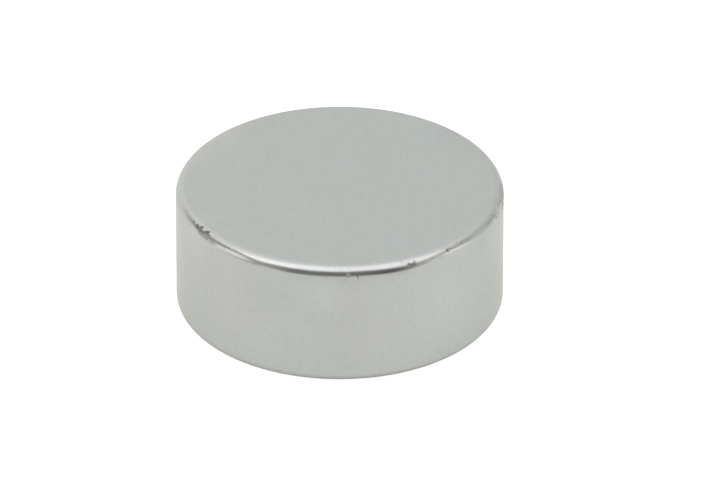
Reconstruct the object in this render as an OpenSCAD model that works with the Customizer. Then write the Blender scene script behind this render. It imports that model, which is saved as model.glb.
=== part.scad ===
// Disc magnet: one sintered disc, ground flat on both faces, tumbled so that
// its edges are round, and plated. The origin is the centre of the bottom face
// and +Z is the magnet's own axis. The side with the worn edge faces -Y.

/* [Magnet] */
// Diameter of the disc
disc_d = 25; // [12:0.5:50]
// Thickness of the disc from face to face
disc_h = 10; // [4:0.5:30]
// Radius of the rounded edge around the top face
top_edge_r = 0.75; // [0.4:0.05:1.5]
// Radius of the rounded edge around the bottom face
bottom_edge_r = 0.75; // [0.4:0.05:1.5]

/* [Wear] */
// Width of the largest nick, measured along the edge
nick_w = 0.5; // [0.3:0.05:0.8]
// Depth of the largest nick
nick_deep = 0.06; // [0.03:0.01:0.1]

/* [Hidden] */

disc_r = disc_d / 2;
plating = [0.71, 0.73, 0.72];
facets = 180;
nick_facets = 32;

// Each nick in the top edge: the angle around the disc from the front, where
// positive is to the right, the tilt down the edge from the top face, and the
// size as a share of the largest nick
TOP_NICKS = [
    [-65, 42, 0.6],
    [-61.5, 38, 0.9],
    [-59, 28, 0.8],
    [-55, 32, 0.9],
    [-54, 60, 0.8],
    [-51, 62, 0.7],
    [3, 66, 0.7],
    [22.5, 34, 0.5],
    [25, 50, 0.6],
    [27, 52, 0.8],
    [41.5, 46, 0.9],
    [49.5, 40, 0.6],
    [69, 48, 0.9],
    [71, 54, 1],
    [83, 48, 0.8]
];

// The same for the bottom edge, with the tilt measured from the bottom face
BOTTOM_NICKS = [
    [-38, 55, 0.5],
    [19.5, 48, 0.8]
];

// Half of the disc's section. The circles give each edge its round.
module half_section() {
    square([disc_r - bottom_edge_r, disc_h / 2]);
    translate([0, disc_h / 2])
        square([disc_r - top_edge_r, disc_h / 2]);
    translate([0, bottom_edge_r])
        square([disc_r, disc_h - bottom_edge_r - top_edge_r]);
    translate([disc_r - bottom_edge_r, bottom_edge_r])
        circle(bottom_edge_r);
    translate([disc_r - top_edge_r, disc_h - top_edge_r])
        circle(top_edge_r);
}

// The ball whose cap, cut out of the edge, is one nick. It lies at the end of
// the edge's own radius, so the nick is as deep at any tilt.
module nick_ball(around, tilt, share, edge_r) {
    deep = nick_deep * share;
    half_w = nick_w * share / 2;
    ball_r = (half_w * half_w + deep * deep) / (2 * deep);
    reach = edge_r + ball_r - deep;
    rotate(around - 90)
        translate([disc_r - edge_r + reach * sin(tilt), 0, disc_h - edge_r + reach * cos(tilt)])
            sphere(ball_r, $fn = nick_facets);
}

module nicks() {
    for (nick = TOP_NICKS)
        nick_ball(nick[0], nick[1], nick[2], top_edge_r);
    translate([0, 0, disc_h])
        mirror([0, 0, 1])
            for (nick = BOTTOM_NICKS)
                nick_ball(nick[0], nick[1], nick[2], bottom_edge_r);
}

module magnet_disc() {
    color(plating)
        difference() {
            rotate_extrude($fn = facets)
                half_section($fn = facets);
            nicks();
        }
}

magnet_disc();
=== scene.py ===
# %% [markdown]
# # A plated disc magnet
#
# The object is one small disc: sintered metal, ground flat, tumbled in a drum
# until its edges are round, then plated with semi-bright nickel. There is
# almost nothing to it, so everything rests on three things: the true round of
# the edge, the bruises that knocks have left in it, and what the plate mirrors.

# %% Load the frame
import math
from collections import namedtuple

import bmesh
import bpy
from mathutils import Euler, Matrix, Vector, noise


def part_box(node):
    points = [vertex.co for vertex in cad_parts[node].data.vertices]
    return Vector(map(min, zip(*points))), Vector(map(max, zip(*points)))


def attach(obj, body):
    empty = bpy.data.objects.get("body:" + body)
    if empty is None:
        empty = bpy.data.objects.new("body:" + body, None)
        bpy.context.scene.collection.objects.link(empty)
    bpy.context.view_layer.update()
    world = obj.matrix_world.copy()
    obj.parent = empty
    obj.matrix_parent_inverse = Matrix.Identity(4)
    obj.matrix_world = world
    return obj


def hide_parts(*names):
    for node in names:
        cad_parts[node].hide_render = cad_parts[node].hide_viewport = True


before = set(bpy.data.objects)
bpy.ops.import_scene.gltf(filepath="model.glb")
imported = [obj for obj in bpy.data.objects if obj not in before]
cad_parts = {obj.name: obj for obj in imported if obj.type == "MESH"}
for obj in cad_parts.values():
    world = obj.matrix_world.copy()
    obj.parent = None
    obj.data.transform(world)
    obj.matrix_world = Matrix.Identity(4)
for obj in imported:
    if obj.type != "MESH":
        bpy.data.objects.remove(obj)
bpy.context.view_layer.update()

# %% [markdown]
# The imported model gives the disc's diameter and thickness. The two sizes that a
# box can't give are named here: the radius of the tumbled edge, and one
# millimetre, so that small lengths can be read as a maker would say them.

# %% Sizes
MM = 0.001
low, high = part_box("magnet_disc")
disc_radius = (high.x - low.x) / 2
bottom, top = low.z, high.z
edge_radius = 0.75 * MM
print("disc", round(disc_radius * 2 / MM, 2), "mm across,",
      round((top - bottom) / MM, 2), "mm thick")

# %% [markdown]
# ## The camera
#
# The picture is taken from about 31 degrees above the bench with a long lens,
# because the two long sides of the disc's wall stay nearly parallel. The lens
# and the distance are a pair: both were found from how much smaller the far rim
# looks than the near one. The small shift puts the disc left of the middle.

# %% Camera
PICTURE_WIDTH = 708
SENSOR = 36.0
LENS_PIXELS = 9406
CAMERA_ELEVATION = math.radians(30.73)
CAMERA_DISTANCE = 28.73 * 2 * disc_radius
LEFT_OF_MIDDLE_PIXELS = 14.25
BELOW_MIDDLE_PIXELS = 1.36
NEAREST_SEEN = 0.01
FURTHEST_SEEN = 10

aim = Vector((0, 0, (top + bottom) / 2))
towards_camera = Vector((0, -math.cos(CAMERA_ELEVATION), math.sin(CAMERA_ELEVATION)))

lens = bpy.data.cameras.new("bench_camera")
lens.sensor_width = SENSOR
lens.lens = LENS_PIXELS / PICTURE_WIDTH * SENSOR
lens.shift_x = LEFT_OF_MIDDLE_PIXELS / PICTURE_WIDTH
lens.shift_y = BELOW_MIDDLE_PIXELS / PICTURE_WIDTH
lens.clip_start = NEAREST_SEEN
lens.clip_end = FURTHEST_SEEN
camera = bpy.data.objects.new("bench_camera", lens)
camera.location = aim + towards_camera * CAMERA_DISTANCE
camera.rotation_mode = "QUATERNION"
camera.rotation_quaternion = towards_camera.to_track_quat("Z", "Y")
bpy.context.scene.collection.objects.link(camera)
bpy.context.scene.camera = camera
bpy.context.scene.view_settings.view_transform = "Standard"
print("lens", round(lens.lens), "mm at", round(CAMERA_DISTANCE, 3), "m")

# %% [markdown]
# ## The disc as a lathe would leave it
#
# A revolved shape starts from half of its section. Here that is a chain of
# edges: out along the top face, down the wall and back along the bottom. The
# extra points hold the flat parts flat right up to the round, because smooth
# shading would otherwise bend the light on the wide faces. The strips of wall
# next to the rounds get more points than the rest, for the marks that reach it.

# %% Half of the section
HOLD = 0.06 * MM
WIDE_HOLD = 8 * HOLD
INNER_RINGS = (0, 0.35, 0.7)
STRIP = 1.0 * MM
STRIP_RINGS = 4
WALL_RINGS = 6


def steps_between(first, last, count):
    """The points that divide a line into this many equal pieces, without the last one."""
    return [first + (last - first) * i / count for i in range(count)]


def half_section(shape):
    """Adds the chain of edges and returns its two outer corners."""
    flat = disc_radius - edge_radius
    reach = [flat * share for share in INNER_RINGS] + [flat - WIDE_HOLD, flat - HOLD]
    upper, lower = top - edge_radius, bottom + edge_radius
    heights = (steps_between(upper - HOLD, upper - STRIP, STRIP_RINGS)
               + steps_between(upper - STRIP, lower + STRIP, WALL_RINGS)
               + steps_between(lower + STRIP, lower + HOLD, STRIP_RINGS) + [lower + HOLD])
    across = [Vector((r, 0, top)) for r in reach]
    down = [Vector((disc_radius, 0, z)) for z in heights]
    back = [Vector((r, 0, bottom)) for r in reversed(reach)]
    corners = [Vector((disc_radius, 0, top)), Vector((disc_radius, 0, bottom))]
    chain = [shape.verts.new(p) for p in across + corners[:1] + down + corners[1:] + back]
    for pair in zip(chain, chain[1:]):
        shape.edges.new(pair)
    return [chain[len(across)], chain[len(across) + 1 + len(down)]]


disc = bmesh.new()
corners = half_section(disc)
print("section points before the rounds:", len(disc.verts))

# %% [markdown]
# A vertex bevel with a profile of 0.5 turns each square corner into a true
# quarter circle, which is what the tumbling drum does to a ground edge. It is
# done on the flat section, before the spin, so both rounds come out even.

# %% Round the two corners
EDGE_STEPS = 16

bmesh.ops.bevel(
    disc, geom=corners, offset=edge_radius, offset_type="OFFSET",
    segments=EDGE_STEPS, profile=0.5, affect="VERTICES", material=-1)
print("section points after the rounds:", len(disc.verts))

# %% [markdown]
# One full spin makes the body. The points on the axis are spun too, so they
# pile up there. They are merged, and the normals are made to point outwards.

# %% Spin the section
AROUND = 720
SAME_PLACE = 0.0001 * MM

bmesh.ops.spin(
    disc, geom=disc.verts[:] + disc.edges[:], cent=(0, 0, 0), axis=(0, 0, 1),
    angle=math.tau, steps=AROUND, use_merge=True)
bmesh.ops.remove_doubles(disc, verts=disc.verts[:], dist=SAME_PLACE)
bmesh.ops.recalc_face_normals(disc, faces=disc.faces[:])
print("faces after the spin:", len(disc.faces))
print("open edges:", sum(e.is_boundary for e in disc.edges))

# %% [markdown]
# ## Knocks in the edge
#
# Magnets snap together hard, and the brittle edge takes the blow. Each mark is
# written down: how far round it lies from the front (right is plus),
# how far down the round from the flat face (past 90 degrees it lies on the
# wall), its length along the edge, its width, the way it is turned, its depth,
# and how dark it makes the plate: dark metal in a knock, painted shade in the
# widest marks. The worst knocks, on the left, are several marks that run into
# one another. The widest marks are hardly dents at all: they are painted shade
# that greys the plate along the edge.

# %% The marks
Mark = namedtuple("Mark", "around down length width turn depth bare")

TOP_MARKS = [
    Mark(-64.5, 41, 0.42, 0.25, 10, 0.025, 0.55),
    Mark(-61.6, 43, 0.50, 0.36, 0, 0.040, 0.80),
    Mark(-59.5, 32, 0.56, 0.30, -25, 0.040, 0.78),
    Mark(-58.8, 48, 1.50, 0.28, 3, 0.024, 0.66),
    Mark(-55.5, 32, 0.66, 0.34, -28, 0.045, 0.90),
    Mark(-54.4, 41, 0.60, 0.26, 0, 0.012, 0.55),
    Mark(-57.2, 64, 1.30, 0.26, 0, 0.010, 0.42),
    Mark(-54.2, 63, 0.80, 0.30, 0, 0.012, 0.50),
    Mark(-51.0, 63, 0.90, 0.30, 0, 0.008, 0.42),
    # painted shade, hardly a dent: greys a long stretch of the edge on the left
    Mark(-54.0, 59, 3.00, 0.52, 2, 0.001, 0.16),
    Mark(3.0, 72, 0.38, 0.42, 0, 0.030, 0.00),
    Mark(6.2, 86, 0.20, 0.46, -10, 0.008, 0.45),
    Mark(22.6, 29, 0.16, 0.26, 0, 0.008, 0.25),
    # painted shade, hardly a dent: dims the white line along the edge
    Mark(24.0, 42, 1.90, 0.40, 0, 0.002, 0.08),
    Mark(24.8, 55, 0.18, 0.28, 0, 0.016, 0.80),
    Mark(27.1, 51, 0.22, 0.38, 0, 0.014, 0.60),
    Mark(26.0, 61, 0.86, 0.25, 3, 0.003, 0.72),
    Mark(30.5, 70, 1.10, 0.26, 0, 0.004, 0.14),
    Mark(33.8, 63, 0.50, 0.16, 0, 0.006, 0.25),
    Mark(35.9, 67, 0.46, 0.10, 46, 0.010, 0.30),
    Mark(37.0, 68, 0.50, 0.10, 46, 0.010, 0.30),
    Mark(38.1, 69, 0.50, 0.10, 46, 0.010, 0.32),
    Mark(39.2, 69, 0.46, 0.10, 46, 0.010, 0.30),
    Mark(41.1, 50, 0.40, 0.17, 61, 0.022, 0.70),
    Mark(41.6, 44, 0.34, 0.12, -39, 0.022, 0.70),
    Mark(42.5, 46, 0.26, 0.11, 20, 0.018, 0.60),
    Mark(48.6, 46, 0.60, 0.22, -12, 0.014, 0.38),
    Mark(51.4, 50, 0.60, 0.24, -8, 0.010, 0.28),
    Mark(66.8, 55, 1.50, 0.26, -3, 0.010, 0.32),
    Mark(70.3, 55, 0.80, 0.34, 5, 0.012, 0.32),
    # painted shade, hardly dents, in this row and the next: they grey the edge on the right
    Mark(68.8, 56, 3.60, 0.84, 0, 0.001, 0.11),
    Mark(83.4, 44, 1.90, 0.46, 0, 0.001, 0.09),
    Mark(72.2, 78, 0.66, 0.30, 58, 0.012, 0.40),
    Mark(74.2, 72, 0.50, 0.16, 50, 0.010, 0.24),
    Mark(78.4, 46, 0.60, 0.20, 12, 0.010, 0.26),
    Mark(81.8, 58, 1.10, 0.22, 16, 0.014, 0.42),
    Mark(86.2, 67, 1.10, 0.26, -8, 0.014, 0.48),
    Mark(81.5, 106, 1.60, 0.17, 20, 0.014, 0.60),
    Mark(84.0, 101, 1.70, 0.20, 20, 0.016, 0.85),
    # painted shade, hardly a dent: darkens the right end of the edge
    Mark(88.0, 61, 3.40, 0.80, 0, 0.001, 0.32),
]
BOTTOM_MARKS = [
    Mark(-38.0, 55, 0.30, 0.14, 10, 0.014, 0.30),
    Mark(19.5, 46, 0.34, 0.20, -20, 0.030, 0.00),
]
print("marks:", len(TOP_MARKS), "on the top edge and", len(BOTTOM_MARKS), "on the bottom edge")

# %% [markdown]
# To press a mark in, each point of the mesh has to know where on the edge it
# is. `edge_place` gives that as two angles, round the disc and down the round,
# for either edge. On the wall the second angle goes on growing at the same rate
# per millimetre. `on_edge` is the way back, with a depth below the surface.

# %% From a point to the edge and back
def edge_place(point):
    """Angle round the disc from the front, angle down the round, and 1 for the top edge or -1."""
    side = 1 if point.z > (top + bottom) / 2 else -1
    face = top if side > 0 else bottom
    around = math.atan2(point.x, -point.y)
    out = math.hypot(point.x, point.y) - (disc_radius - edge_radius)
    up = (point.z - (face - side * edge_radius)) * side
    down = math.atan2(out, up) if up > 0 else math.pi / 2 - up / edge_radius
    return around, down, side


def on_edge(around, down, side, depth=0.0):
    """The point of the round or the wall at these angles, sunk by depth."""
    face = top if side > 0 else bottom
    on_round = min(down, math.pi / 2)
    reach = disc_radius - edge_radius + (edge_radius - depth) * math.sin(on_round)
    sunk = edge_radius - (edge_radius - depth) * math.cos(on_round)
    height = face - side * (sunk + edge_radius * (down - on_round))
    return Vector((reach * math.sin(around), -reach * math.cos(around), height))


def is_near_edge(point):
    """True for points on a quarter circle or the strip of wall next to it, ends included."""
    tiny = 0.001 * MM
    past_flat = math.hypot(point.x, point.y) > disc_radius - edge_radius - tiny
    depth = edge_radius + STRIP
    near_face = max(point.z - (top - depth), bottom + depth - point.z) > -tiny
    return past_flat and near_face


print("points near an edge:", sum(is_near_edge(v.co) for v in disc.verts))

# %% [markdown]
# Two helpers say how a mark lies to a place on the edge. `mark_offset` turns the
# place into the mark's own oval: 0 in the middle and 1 at the rim, or at the rim
# of an oval grown by some millimetres. `marks_round` leaves out the marks that
# are too far away to matter, which saves most of the work. The longest mark is
# 3.6 mm long, so 10 degrees, which is 2.2 mm along the edge, is far enough.

# %% Where a mark reaches
NEAR_MARK = math.radians(10)


def mark_offset(place, mark, grow=0.0):
    """How far out from a mark's middle a place is: 0 in the middle, 1 at its rim."""
    around, down, _ = place
    mark_around, mark_down = math.radians(mark.around), math.radians(mark.down)
    reach = disc_radius - edge_radius * (1 - math.sin(min(mark_down, math.pi / 2)))
    along = (around - mark_around) * reach / MM
    across = (down - mark_down) * edge_radius / MM
    turn = math.radians(mark.turn)
    x = along * math.cos(turn) + across * math.sin(turn)
    y = across * math.cos(turn) - along * math.sin(turn)
    return math.hypot(x / (mark.length / 2 + grow), y / (mark.width / 2 + grow))


def marks_round(place):
    """The marks of this edge that can reach a place."""
    around, _, side = place
    marks = TOP_MARKS if side > 0 else BOTTOM_MARKS
    return [m for m in marks if abs(around - math.radians(m.around)) < NEAR_MARK]


# %% [markdown]
# The mesh is fine enough for a smooth edge but not for a dent half a millimetre
# long. So the faces round each mark are cut in half again and again, in
# shrinking ovals, and every new point is put back on the true surface. This
# spends the triangles only where the eye finds something.

# %% Finer mesh round the marks
REFINE_REACH = [0.28, 0.16]
FINEST_REACH = 0.06
SMALL_MARK = 0.45


def refine(shape, reach, longest=math.inf):
    """Halves the faces near an edge within reach, in mm, of a mark no longer than the longest."""
    near = []
    for f in shape.faces:
        if not all(is_near_edge(v.co) for v in f.verts):
            continue
        place = edge_place(f.calc_center_median())
        if any(m.length < longest and mark_offset(place, m, reach) < 1 for m in marks_round(place)):
            near.append(f)
    # each edge once, in the order of the faces
    cut = list(dict.fromkeys(e for f in near for e in f.edges))
    bmesh.ops.subdivide_edges(shape, edges=cut, cuts=1, use_grid_fill=True, use_single_edge=True)
    for v in shape.verts:
        if is_near_edge(v.co):
            v.co = on_edge(*edge_place(v.co))


for reach in REFINE_REACH:
    refine(disc, reach)
refine(disc, FINEST_REACH, SMALL_MARK)
print("faces after refining:", len(disc.faces))

# %% [markdown]
# A real bruise is never a neat oval. The distance from its middle is therefore
# made ragged with a little noise before it becomes a depth: deepest in the
# middle, rising in an S to the rim, with a low lip of pushed-up metal outside.
# A knock also dulls the metal, the deeper the more, even where the plate holds.
# The whole edge also gets a wave a few thousandths of a millimetre high, which
# fades out at the flats, because a tumbled edge is never quite even.

# %% Press the marks in
RAGGED = 0.32
RAGGED_SIZE = 0.13 * MM
LIP = 0.12
LIP_MIDDLE = 1.15
LIP_SPREAD = 0.18
PAST_LIP = 1.8
WEAR_END = 1.08
WEAR_FADE = 0.4
WAVE = 0.006 * MM
WAVE_SIZE = 1.4 * MM
FULLY_DULL = 0.03


def mark_depth(offset):
    """Share of the full depth at this offset, below zero on the lip."""
    bowl = (1 - offset * offset) ** 2 if offset < 1 else 0
    lip = LIP * math.exp(-((offset - LIP_MIDDLE) / LIP_SPREAD) ** 2)
    return bowl - lip


def mark_cover(offset):
    """Share of a mark's wear and painted shade at this offset: all of it inside, none past the rim.
    """
    return max(0, min(1, (WEAR_END - offset) / WEAR_FADE))


bare = disc.verts.layers.float.new("bare")
dull = disc.verts.layers.float.new("dull")
pressed = 0
for v in disc.verts:
    if not is_near_edge(v.co):
        continue
    place = edge_place(v.co)
    roughen = 1 + RAGGED * noise.noise(v.co / RAGGED_SIZE)
    depth = 0
    for mark in marks_round(place):
        offset = mark_offset(place, mark) * roughen
        if offset < PAST_LIP:
            depth = max(depth, mark.depth * MM * mark_depth(offset), key=abs)
            cover = mark_cover(offset)
            # dark metal where a knock took the plate off, and painted shade from the widest,
            # shallowest marks
            v[bare] = max(v[bare], mark.bare * cover)
            v[dull] = max(v[dull], mark.bare * cover, min(1, mark.depth / FULLY_DULL) * cover)
    pressed += depth > 0
    depth += WAVE * noise.noise(v.co / WAVE_SIZE) * max(0, math.sin(2 * place[1]))
    v.co = on_edge(*place, depth)
print("points pressed:", pressed)

# %% [markdown]
# The finished mesh becomes one object. Its place is in its mesh, so the object
# itself stays at the origin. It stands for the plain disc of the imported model
# and moves with the only body there is.

# %% The magnet
mesh = bpy.data.meshes.new("magnet")
disc.normal_update()
disc.to_mesh(mesh)
disc.free()
mesh.shade_smooth()
magnet = bpy.data.objects.new("magnet", mesh)
bpy.context.scene.collection.objects.link(magnet)
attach(magnet, "root")
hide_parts("magnet_disc")
mesh.calc_loop_triangles()
print("triangles:", len(mesh.loop_triangles))

# %% [markdown]
# ## The plate
#
# Semi-bright nickel is a metal with a faint green-grey cast and a soft shine:
# it mirrors light and dark, but not outlines. Five things vary over it. The
# cast drifts between cool and warm over a few millimetres, and from warm on the
# left to cool on the right. Round patches of painted light and shade lie on the
# wall, paler or darker than the rest. Pits finer than a hair dim it in a close
# stipple. A grain left by the tumbling breaks up the shine. The bruises are
# dull, and where the plate is gone a dark metal shows; the widest marks are
# painted shade that greys the edge.

# %% Small helpers for materials
# The Mix node has sockets for numbers and for colours under the same names, so
# its colour sockets are found by their place.
FIRST_COLOUR, SECOND_COLOUR, MIXED_COLOUR = 6, 7, 2
NOISE_SPREAD = (0.3, 0.7)


def node(tree, kind, **values):
    """A node of this kind, with its settings and input values filled in."""
    made = tree.nodes.new("ShaderNode" + kind)
    for name, value in values.items():
        if name in made.inputs:
            made.inputs[name].default_value = value
        else:
            setattr(made, name, value)
    return made


def grain(tree, place, size, detail=2.0):
    """Noise whose lumps are about this size, read from the object's own place."""
    lumps = node(tree, "TexNoise", Scale=1 / size, Detail=detail)
    tree.links.new(place, lumps.inputs["Vector"])
    return lumps.outputs["Fac"]


def between(tree, amount, low_value, high_value, spread=NOISE_SPREAD):
    """Spreads a value that runs over the given range over a new range."""
    remap = node(tree, "MapRange")
    remap.inputs["From Min"].default_value = spread[0]
    remap.inputs["From Max"].default_value = spread[1]
    remap.inputs["To Min"].default_value = low_value
    remap.inputs["To Max"].default_value = high_value
    tree.links.new(amount, remap.inputs["Value"])
    return remap.outputs["Result"]


def combine(tree, first, second, operation="ADD"):
    """One number from two, each a number or an output."""
    total = node(tree, "Math", operation=operation)
    for socket, value in zip(total.inputs, (first, second)):
        if isinstance(value, bpy.types.NodeSocket):
            tree.links.new(value, socket)
        else:
            socket.default_value = value
    return total.outputs[0]


def blend_colours(tree, amount, first, second):
    """Mixes two colours, each a colour value or an output."""
    mix = node(tree, "Mix", data_type="RGBA")
    tree.links.new(amount, mix.inputs["Factor"])
    for place, colour in ((FIRST_COLOUR, first), (SECOND_COLOUR, second)):
        socket = mix.inputs[place]
        if isinstance(colour, bpy.types.NodeSocket):
            tree.links.new(colour, socket)
        else:
            socket.default_value = (*colour, 1)
    return mix.outputs[MIXED_COLOUR]


def brighten(tree, colour, factor):
    """A colour times a number."""
    scaled = node(tree, "VectorMath", operation="SCALE")
    tree.links.new(colour, scaled.inputs[0])
    tree.links.new(factor, scaled.inputs["Scale"])
    return scaled.outputs["Vector"]


# %% Nickel plate
COOL_NICKEL = (0.460, 0.500, 0.479)
WARM_NICKEL = (0.479, 0.497, 0.473)
CAST_DRIFT = 0.2
CAST_RANGE = (0.1, 0.9)
CAST_PATCH = 5 * MM
GRAZING = (0.93, 0.93, 0.915)
BARE_METAL = (0.130, 0.122, 0.112)
SHINE = (0.28, 0.32)
SHINE_GRAIN = 0.9 * MM
DULL = 0.58
PITTED = 0.09
PIT_SIZE = 0.3 * MM
PIT_SPREAD = (0.45, 0.75)
STIPPLE_SIZE = 0.22 * MM
STIPPLE_DEPTH = 0.0012 * MM
FINE_DETAIL = 4
# painted light and shade: round patches on the wall, painted paler or darker where its shine is
# brighter or dimmer
PAINTED_LIGHT_PATCHES = [
    # around, height above the paper and radius in mm, paler (plus) or darker (minus)
    (-27, 7.2, 3.2, -0.045),
    (-5, 7.5, 2.0, 0.065),
    (42, 5.5, 4.5, 0.040),
    (-62, 9.1, 2.4, 0.080),
    (5, 9.7, 2.2, -0.040),
    (60, 8.7, 1.4, -0.045),
    (78, 9.2, 1.5, -0.120),
]


def painted_light_patches_level(tree, place):
    """How much paler the painted light and shade patches make each place, near 0 everywhere."""
    total = 0
    for around, height, radius, strength in PAINTED_LIGHT_PATCHES:
        turn = math.radians(around)
        middle = (disc_radius * math.sin(turn), -disc_radius * math.cos(turn), bottom + height * MM)
        away = node(tree, "VectorMath", operation="DISTANCE")
        tree.links.new(place, away.inputs[0])
        away.inputs[1].default_value = middle
        soft = between(tree, away.outputs["Value"], strength, 0, (0, radius * MM))
        total = combine(tree, soft, total)
    return total


def nickel_plate():
    """The plated metal, with its cast, painted light and shade patches, pits, grain, wear and
    painted shade.
    """
    material = bpy.data.materials.new("nickel_plate")
    material.use_nodes = True
    tree = material.node_tree
    tree.nodes.clear()
    place = node(tree, "TexCoord").outputs["Object"]
    # the dark metal of the knocks and the painted shade of the widest marks
    worn_and_painted_shade = node(tree, "Attribute", attribute_name="bare").outputs["Fac"]
    metal = node(tree, "BsdfPrincipled", Metallic=1.0)
    metal.inputs["Specular Tint"].default_value = (*GRAZING, 1)
    output = node(tree, "OutputMaterial")
    axes = node(tree, "SeparateXYZ")
    tree.links.new(place, axes.inputs[0])
    drift = between(tree, axes.outputs["X"], CAST_DRIFT, -CAST_DRIFT, (-disc_radius, disc_radius))
    cast = combine(tree, between(tree, grain(tree, place, CAST_PATCH), *CAST_RANGE), drift)
    even = blend_colours(tree, cast, COOL_NICKEL, WARM_NICKEL)
    # the painted light and shade patches scale the plate's colour
    plate = brighten(tree, even, combine(tree, painted_light_patches_level(tree, place), 1))
    pits = between(tree, grain(tree, place, PIT_SIZE, FINE_DETAIL), 0, PITTED, PIT_SPREAD)
    wear_pits_and_painted_shade = combine(tree, worn_and_painted_shade, pits, "MAXIMUM")
    tree.links.new(blend_colours(tree, wear_pits_and_painted_shade, plate, BARE_METAL), metal.inputs["Base Color"])
    shine = between(tree, grain(tree, place, SHINE_GRAIN, FINE_DETAIL), *SHINE)
    roughened = node(tree, "Mix", data_type="FLOAT", B=DULL)
    knocked = node(tree, "Attribute", attribute_name="dull").outputs["Fac"]
    tree.links.new(knocked, roughened.inputs["Factor"])
    tree.links.new(shine, roughened.inputs["A"])
    tree.links.new(roughened.outputs["Result"], metal.inputs["Roughness"])
    stipple = node(tree, "Bump", Strength=1.0, Distance=STIPPLE_DEPTH)
    tree.links.new(grain(tree, place, STIPPLE_SIZE), stipple.inputs["Height"])
    tree.links.new(stipple.outputs["Normal"], metal.inputs["Normal"])
    tree.links.new(metal.outputs["BSDF"], output.inputs["Surface"])
    return material


mesh.materials.append(nickel_plate())
print("materials on the magnet:", [m.name for m in mesh.materials])

# %% [markdown]
# ## The bench and the light
#
# Metal shows what stands round it, and the rounded edge shows most of it. The
# picture has a white line along the edge, from a wide soft box overhead, and a
# thin dark line under it, from something dark in front of the disc. The flat
# face and the wall are an even grey, so a white room and white paper lie there.

# %% Stage cards
def shining(name, level, tint=(1, 1, 1)):
    """A material that is this bright from every side, where 1 is white."""
    material = bpy.data.materials.new(name)
    material.use_nodes = True
    tree = material.node_tree
    tree.nodes.clear()
    glow = node(tree, "Emission", Color=(*tint, 1), Strength=level)
    output = node(tree, "OutputMaterial")
    tree.links.new(glow.outputs[0], output.inputs["Surface"])
    return material


def stage_piece(name, shape, material):
    """Makes a bmesh a piece of the stage, which isn't part of the magnet."""
    made_mesh = bpy.data.meshes.new(name)
    shape.to_mesh(made_mesh)
    shape.free()
    made_mesh.materials.append(material)
    made = bpy.data.objects.new(name, made_mesh)
    bpy.context.scene.collection.objects.link(made)
    return made


def card(name, size, turn, place, material):
    """A flat stage card: size is its width and depth, turn its tilt about each axis."""
    shape = bmesh.new()
    # a grid's size is half its width, so this one is a square of one metre
    bmesh.ops.create_grid(shape, x_segments=1, y_segments=1, size=0.5)
    bmesh.ops.scale(shape, verts=shape.verts[:], vec=(*size, 1))
    bmesh.ops.rotate(shape, verts=shape.verts[:], matrix=Euler(turn).to_matrix())
    bmesh.ops.translate(shape, verts=shape.verts[:], vec=place)
    return stage_piece(name, shape, material)


def only_in_mirrors(stage_card):
    """The card shows in the metal, but neither the camera nor a matt surface sees it."""
    stage_card.visible_camera = False
    stage_card.visible_diffuse = False
    stage_card.visible_shadow = False


# %% [markdown]
# The paper is matt and keeps the disc's soft shadow. It gets a glow of its own
# for the camera and for mirrors, so that it is white where nothing shades it,
# without more light on the disc. In mirrors the glow grows a little to the left
# and right, which makes the two ends of the wall paler, and it dies away under
# the disc, which draws the thin dark line along the lower edge.

# %% Paper
PAPER_SIDE = 3.0
PAPER_WHITE = (0.50, 0.492, 0.482)
PAPER_GLOW = (1.0, 0.987, 0.964)
MIDDLE_GLOW = 0.54
LEFT_GLOW = 0.06
LEFT_REACH = 20 * MM
RIGHT_GLOW = 0.07
RIGHT_REACH = 14 * MM
UNDER_DISC = 0.55
UNDER_DISC_REACH = (12.0 * MM, 13.1 * MM)
CAMERA_GLOW = 0.85


def seen_by_mirror(tree, path):
    """1 for rays from a mirror or through glass, else 0."""
    glossy, through = path.outputs["Is Glossy Ray"], path.outputs["Is Transmission Ray"]
    return combine(tree, glossy, through, "MAXIMUM")


def paper_white():
    """Matt white paper, with its own glow for the camera and for mirrors."""
    material = bpy.data.materials.new("paper_white")
    material.use_nodes = True
    tree = material.node_tree
    tree.nodes.clear()
    path = node(tree, "LightPath")
    matt = node(tree, "BsdfDiffuse", Color=(*PAPER_WHITE, 1))
    glow = node(tree, "Emission", Color=(*PAPER_GLOW, 1))
    place = node(tree, "TexCoord").outputs["Object"]
    axes = node(tree, "SeparateXYZ")
    tree.links.new(place, axes.inputs[0])
    to_left = between(tree, axes.outputs["X"], LEFT_GLOW, 0, (-LEFT_REACH, 0))
    to_right = between(
        tree, axes.outputs["X"], MIDDLE_GLOW, MIDDLE_GLOW + RIGHT_GLOW, (0, RIGHT_REACH))
    level = combine(tree, to_left, to_right)
    from_middle = node(tree, "VectorMath", operation="LENGTH")
    tree.links.new(place, from_middle.inputs[0])
    open_to_light = between(tree, from_middle.outputs["Value"], UNDER_DISC, 1, UNDER_DISC_REACH)
    shaded = combine(tree, level, open_to_light, "MULTIPLY")
    in_mirrors = combine(tree, seen_by_mirror(tree, path), shaded, "MULTIPLY")
    for_camera = combine(tree, path.outputs["Is Camera Ray"], CAMERA_GLOW, "MULTIPLY")
    tree.links.new(combine(tree, in_mirrors, for_camera), glow.inputs["Strength"])
    both = node(tree, "AddShader")
    output = node(tree, "OutputMaterial")
    tree.links.new(matt.outputs[0], both.inputs[0])
    tree.links.new(glow.outputs[0], both.inputs[1])
    tree.links.new(both.outputs[0], output.inputs["Surface"])
    return material


card("paper", (PAPER_SIDE, PAPER_SIDE), (0, 0, 0), (0, 0, bottom), paper_white())
print("paper", PAPER_SIDE, "m square")

# %% [markdown]
# The soft box is a shining card overhead, a little forward of the disc, and
# brighter towards its left end. Its size is given as the angles at which the
# disc sees its sides, its front and its back, off straight up. Two low white
# cards at the sides fill the ends of the edge.

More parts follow.
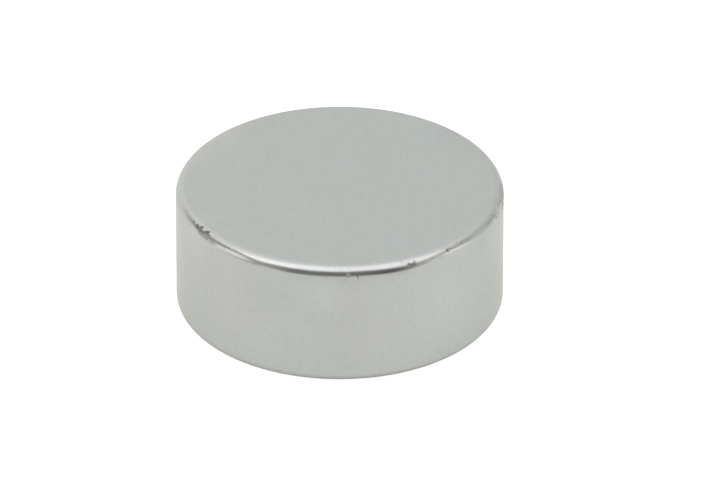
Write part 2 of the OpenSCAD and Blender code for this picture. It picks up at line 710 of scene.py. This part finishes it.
# %% Soft box and side cards
BOX_HEIGHT = 0.8
BOX_SIDE_ANGLE = math.radians(57)
BOX_FRONT_ANGLE = math.radians(45.4)
BOX_BACK_ANGLE = math.radians(7)
BOX_LEFT_LEVEL = 2.30
BOX_LEVEL = 1.78
BOX_FALL = 0.95
BOX_TINT = (1.0, 0.958, 0.990)
BOX_HALF_WIDTH = math.tan(BOX_SIDE_ANGLE) * BOX_HEIGHT
BOX_FRONT = math.tan(BOX_FRONT_ANGLE) * BOX_HEIGHT
BOX_BACK = math.tan(BOX_BACK_ANGLE) * BOX_HEIGHT
CARD_DISTANCE = 0.6
CARD_TINT = (1.0, 0.975, 0.960)
SIDE_CARDS = [
    # name, angle from the front, width, height, brightness
    ("left_card", -85, 0.30, 0.375, 1.4),
    ("right_card", 82, 0.23, 0.22, 1.8),
]


def box_light():
    """A shining cloth that gets brighter to the left."""
    material = shining("box_light", 1.0, BOX_TINT)
    tree = material.node_tree
    axes = node(tree, "SeparateXYZ")
    tree.links.new(node(tree, "TexCoord").outputs["Object"], axes.inputs[0])
    level = between(tree, axes.outputs["X"], BOX_LEFT_LEVEL, BOX_LEVEL, (-BOX_FALL, 0))
    tree.links.new(level, tree.nodes["Emission"].inputs["Strength"])
    return material


soft_box = card(
    "soft_box", (2 * BOX_HALF_WIDTH, BOX_FRONT + BOX_BACK), (0, 0, 0),
    (0, (BOX_BACK - BOX_FRONT) / 2, BOX_HEIGHT), box_light())
soft_box.visible_camera = False
for name, around, width, height, level in SIDE_CARDS:
    turn = math.radians(around)
    place = (math.sin(turn) * CARD_DISTANCE, -math.cos(turn) * CARD_DISTANCE, height / 2)
    card_light = shining(name + "_light", level, CARD_TINT)
    only_in_mirrors(card(name, (width, height), (math.pi / 2, 0, turn), place, card_light))
print("soft box", round(2 * BOX_HALF_WIDTH, 2), "by", round(BOX_FRONT + BOX_BACK, 2), "m")

# %% [markdown]
# A photographer draws a dark line on bright metal with a flag, a dark card held
# close to it. This one is a band bent round the front of the disc, 3 mm off its
# wall and level with its top edge, so the line stays where the edge is and the
# wide faces stay clear of it. The band is cut to shape. Past the sides it is as
# bright as the room, so that its ends can't be seen from anywhere, and it fades
# into the room for whatever looks at it from across the disc. Two narrow white
# strips under it give the light streaks below the dark line, and a grey one
# the faint second line on the left. Only the metal sees them.

# %% The flag
FLAG_GAP = 3 * MM
FLAG_STEPS = 240
FLAG_FADES = (7 * MM, 11 * MM)
FLAG_CUT = [
    # around, lower edge and upper edge in mm above the paper, brightness
    (-150, 11, 13.5, 1.10),     # the left end, as bright as the room
    (-95, 11, 14.5, 1.15),
    (-80, 10.25, 14.5, 0.50),   # tall and grey: the soft shade on the left of the edge
    (-72, 10.25, 14.25, 0.55),
    (-65, 10.25, 14, 0.50),
    (-50, 12.25, 14.25, 0.10),  # a sliver, nearly black: the line at its thinnest
    (-42, 11.75, 12.75, 0.10),
    (-36, 9.25, 12.25, 0.50),   # the front blade: the broad dark line, pale where it starts
    (-28, 9, 12.5, 0.50),
    (-20, 8.5, 12.5, 0.25),
    (10, 8.5, 12.25, 0.25),
    (22, 8, 11.25, 0.10),       # its darkest place
    (30, 8, 10.75, 0.35),
    (38, 9.75, 12, 0.75),       # almost white: the line fades away
    (48, 11.5, 13, 0.50),       # a pale sliver: the line comes back, thin
    (60, 10, 15.25, 0.75),      # tall and pale: the soft shade on the right
    (75, 8.5, 15, 0.80),
    (90, 10, 14, 0.95),         # the right end, as bright as the room
    (150, 11, 13.5, 0.95),
]
LEFT_STRIP_CUT = [
    # white: the light streak on the left
    (-54, 10.25, 10.5, 1.1),
    (-49, 10, 10.75, 1.7),
    (-43, 9.75, 10.5, 1.7),
    (-39, 9.75, 10, 1.3),
]
RIGHT_STRIP_CUT = [
    # white: the light streak on the right
    (44, 9, 9.25, 1.0),
    (48, 8.75, 9.75, 1.2),
    (52, 9, 9.75, 1.1),
    (57, 9, 9.25, 1.0),
]
LEFT_SHADE_CUT = [
    # grey: the faint second line on the left
    (-54, 9, 9.25, 0.9),
    (-48, 8.75, 9.25, 0.5),
    (-40, 8.5, 9.25, 0.5),
    (-34, 8.5, 9, 0.6),
]
FLAG_TINT = (1.0, 0.957, 0.948)
PLAIN_WHITE = (1, 1, 1)


def cut_at(cuts, around):
    """Lower edge, upper edge and brightness of a band, between the two nearest cuts."""
    for first, second in zip(cuts, cuts[1:]):
        if around <= second[0]:
            break
    share = min(1, max(0, (around - first[0]) / (second[0] - first[0])))
    return [a + (b - a) * share for a, b in zip(first[1:], second[1:])]


def band_shape(cuts):
    """A row of points spun round the disc, drawn upwards and cut to its outline."""
    shape = bmesh.new()
    level = shape.verts.layers.float.new("level")
    start, end = math.radians(cuts[0][0]), math.radians(cuts[-1][0])
    reach = disc_radius + FLAG_GAP
    first = shape.verts.new((reach * math.sin(start), -reach * math.cos(start), bottom))
    bmesh.ops.spin(
        shape, geom=[first], cent=(0, 0, 0), axis=(0, 0, 1), angle=end - start, steps=FLAG_STEPS)
    lower = shape.verts[:]
    drawn = bmesh.ops.extrude_edge_only(shape, edges=shape.edges[:])
    upper = [v for v in drawn["geom"] if isinstance(v, bmesh.types.BMVert)]
    for row, vertices in enumerate((lower, upper)):
        for v in vertices:
            cut = cut_at(cuts, math.degrees(math.atan2(v.co.x, -v.co.y)))
            v.co.z = bottom + cut[row] * MM
            v[level] = cut[2]
    return shape


def band_cloth(tint):
    """Shines as each point of the band says, and as the room does from across the disc."""
    material = shining("band_cloth", 1.0, tint)
    tree = material.node_tree
    level = node(tree, "Attribute", attribute_name="level").outputs["Fac"]
    across = between(tree, node(tree, "LightPath").outputs["Ray Length"], 0, 1, FLAG_FADES)
    shown = node(tree, "Mix", data_type="FLOAT", B=1.0)
    tree.links.new(across, shown.inputs["Factor"])
    tree.links.new(level, shown.inputs["A"])
    tree.links.new(shown.outputs["Result"], tree.nodes["Emission"].inputs["Strength"])
    return material


BANDS = [
    ("flag", FLAG_CUT, FLAG_TINT),
    ("left_strip", LEFT_STRIP_CUT, PLAIN_WHITE),
    ("right_strip", RIGHT_STRIP_CUT, PLAIN_WHITE),
    ("left_shade", LEFT_SHADE_CUT, FLAG_TINT),
]
for name, cuts, tint in BANDS:
    band = stage_piece(name, band_shape(cuts), band_cloth(tint))
    only_in_mirrors(band)
    print(name, "from", cuts[0][0], "to", cuts[-1][0], "degrees")

# %% [markdown]
# The rest of the room is the world. The camera sees plain white. Mirrors see
# white walls, a little brighter on the left, that get brighter again towards
# the ceiling. Matt surfaces get an even, weaker light from it.

# %% Room
RIGHT_WALL = 0.94
LEFT_WALL = 1.10
CEILING = 0.17
CEILING_TINT = (0.995, 0.98, 1.0)
ROOM_LEVEL = 0.47
LEFT_TO_RIGHT = (-0.45, 0.1)
WALL_TO_CEILING = (0.5, 0.8)


def room():
    """A white room for the camera, for mirrors and for matt surfaces."""
    world = bpy.data.worlds.new("room")
    world.use_nodes = True
    tree = world.node_tree
    tree.nodes.clear()
    axes = node(tree, "SeparateXYZ")
    tree.links.new(node(tree, "TexCoord").outputs["Generated"], axes.inputs[0])
    mirrored = node(tree, "Background")
    walls = between(tree, axes.outputs["X"], LEFT_WALL, RIGHT_WALL, LEFT_TO_RIGHT)
    overhead = between(tree, axes.outputs["Z"], 0, 1, WALL_TO_CEILING)
    ceiling = combine(tree, overhead, CEILING, "MULTIPLY")
    tree.links.new(combine(tree, walls, ceiling), mirrored.inputs["Strength"])
    plain = node(tree, "Background", Strength=1.0)
    ambient = node(tree, "Background", Strength=ROOM_LEVEL)
    for background in (plain, ambient):
        background.inputs["Color"].default_value = (1, 1, 1, 1)
    colour = blend_colours(tree, overhead, PLAIN_WHITE, CEILING_TINT)
    tree.links.new(colour, mirrored.inputs["Color"])
    path = node(tree, "LightPath")
    not_matt = node(tree, "MixShader")
    in_mirrors = seen_by_mirror(tree, path)
    seen_directly = combine(tree, in_mirrors, path.outputs["Is Camera Ray"], "MAXIMUM")
    tree.links.new(seen_directly, not_matt.inputs[0])
    tree.links.new(ambient.outputs[0], not_matt.inputs[1])
    tree.links.new(mirrored.outputs[0], not_matt.inputs[2])
    seen = node(tree, "MixShader")
    tree.links.new(path.outputs["Is Camera Ray"], seen.inputs[0])
    tree.links.new(not_matt.outputs[0], seen.inputs[1])
    tree.links.new(plain.outputs[0], seen.inputs[2])
    output = node(tree, "OutputWorld")
    tree.links.new(seen.outputs[0], output.inputs["Surface"])
    return world


bpy.context.scene.world = room()
print("world:", bpy.context.scene.world.name)
